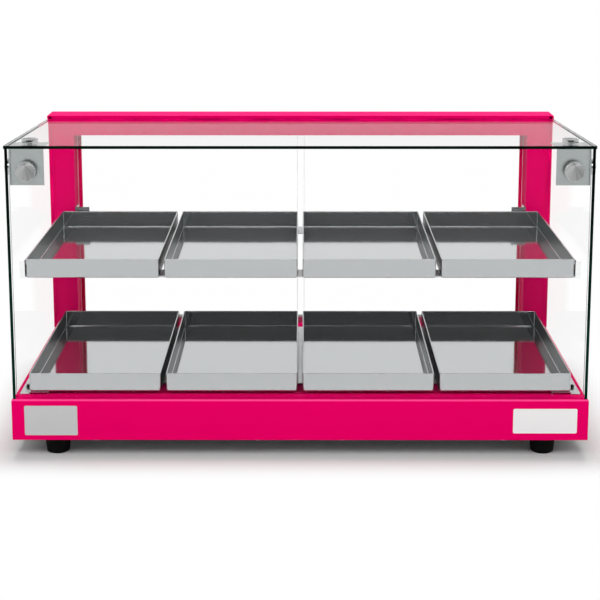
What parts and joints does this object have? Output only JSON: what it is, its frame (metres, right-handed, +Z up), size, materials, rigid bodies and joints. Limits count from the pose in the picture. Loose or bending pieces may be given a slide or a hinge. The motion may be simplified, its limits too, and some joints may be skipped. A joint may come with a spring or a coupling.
{
  "type": "heated countertop display case",
  "caption": "Glass-sided countertop display case with two rows of lift-out trays, a shallow heated base on rubber feet and sliding rear doors in a steel frame.",
  "frame": {"origin": "on the ground, below the middle of the whole object's box", "axes": "+X to the right seen from the customer's side, +Y to the rear doors, +Z up"},
  "size_m": [0.7864, 0.421, 0.4339],
  "materials": {
    "pink_paint": "gloss",
    "clear_glass": "polished",
    "clear_acrylic": "polished",
    "stainless": "brushed",
    "turned_steel": "turned and polished",
    "anodised": "satin",
    "zinc": "zinc plated",
    "black_oxide": "black oxide",
    "rubber": "matt",
    "element_sheath": "heat stained",
    "reflector_sheet": "bright",
    "black_nylon": "matt",
    "cream_ceramic": "matt",
    "wire_sleeve": "matt",
    "plate_grey": "satin",
    "plate_white": "satin",
    "amber_lens": "gloss",
    "knob_plastic": "satin"
  },
  "bodies": {
    "case": {"base_shell": "pink_paint", "bottom_plate": "stainless", "bottom_plate_screws": "zinc", "rubber_feet": "rubber", "foot_screws": "zinc", "foot_nuts": "zinc", "left_post": "pink_paint", "right_post": "pink_paint", "post_screws": "zinc", "post_covers": "pink_paint", "header": "pink_paint", "frame_cap": "pink_paint", "lower_door_track": "anodised", "upper_door_track": "anodised", "left_side_glass": "clear_glass", "right_side_glass": "clear_glass", "front_glass": "clear_glass", "top_glass": "clear_glass", "left_corner_bracket": "stainless", "right_corner_bracket": "stainless", "front_glass_buttons": "turned_steel", "top_glass_buttons": "turned_steel", "side_glass_buttons": "turned_steel", "button_nuts": "zinc", "left_shelf_arm": "stainless", "right_shelf_arm": "stainless", "shelf_front_rail": "stainless", "shelf_rear_rail": "stainless", "shelf_hooks": "stainless", "shelf_screws": "black_oxide", "left_deck_rail": "stainless", "right_deck_rail": "stainless", "middle_deck_rails": "stainless", "deck_rail_screws": "black_oxide", "left_plate": "plate_grey", "right_plate": "plate_white", "reflector": "reflector_sheet", "heating_element": "element_sheath", "element_terminals": "cream_ceramic", "element_brackets": "stainless", "thermostat_body": "black_nylon", "terminal_block": "cream_ceramic", "wiring": "wire_sleeve", "cable_gland": "black_nylon", "gland_nut": "black_nylon", "pilot_lamp": "amber_lens"},
    "left_door": {"left_door": "clear_acrylic"},
    "right_door": {"right_door": "clear_acrylic"},
    "upper_tray_1": {"upper_tray_1": "stainless"},
    "upper_tray_2": {"upper_tray_2": "stainless"},
    "upper_tray_3": {"upper_tray_3": "stainless"},
    "upper_tray_4": {"upper_tray_4": "stainless"},
    "lower_tray_1": {"lower_tray_1": "stainless"},
    "lower_tray_2": {"lower_tray_2": "stainless"},
    "lower_tray_3": {"lower_tray_3": "stainless"},
    "lower_tray_4": {"lower_tray_4": "stainless"},
    "knob": {"thermostat_shaft": "zinc", "thermostat_knob": "knob_plastic"}
  },
  "joints": [
    {"name": "left_door_slide", "type": "slide", "parent": "case", "child": "left_door", "axis": [1, 0, 0], "range_m": [0, 0.343]},
    {"name": "right_door_slide", "type": "slide", "parent": "case", "child": "right_door", "axis": [1, 0, 0], "range_m": [-0.344, 0]},
    {"name": "upper_tray_1_lift", "type": "slide", "parent": "case", "child": "upper_tray_1", "axis": [0, 0, 1], "range_m": [0, 0.1]},
    {"name": "upper_tray_2_lift", "type": "slide", "parent": "case", "child": "upper_tray_2", "axis": [0, 0, 1], "range_m": [0, 0.1]},
    {"name": "upper_tray_3_lift", "type": "slide", "parent": "case", "child": "upper_tray_3", "axis": [0, 0, 1], "range_m": [0, 0.1]},
    {"name": "upper_tray_4_lift", "type": "slide", "parent": "case", "child": "upper_tray_4", "axis": [0, 0, 1], "range_m": [0, 0.1]},
    {"name": "lower_tray_1_lift", "type": "slide", "parent": "case", "child": "lower_tray_1", "axis": [0, 0, 1], "range_m": [0, 0.1]},
    {"name": "lower_tray_2_lift", "type": "slide", "parent": "case", "child": "lower_tray_2", "axis": [0, 0, 1], "range_m": [0, 0.1]},
    {"name": "lower_tray_3_lift", "type": "slide", "parent": "case", "child": "lower_tray_3", "axis": [0, 0, 1], "range_m": [0, 0.1]},
    {"name": "lower_tray_4_lift", "type": "slide", "parent": "case", "child": "lower_tray_4", "axis": [0, 0, 1], "range_m": [0, 0.1]},
    {"name": "thermostat_turn", "type": "hinge", "parent": "case", "child": "knob", "pos_m": [0.215, 0.1915, 0.054], "axis": [0, -1, 0], "range_deg": [0, 270]}
  ]
}
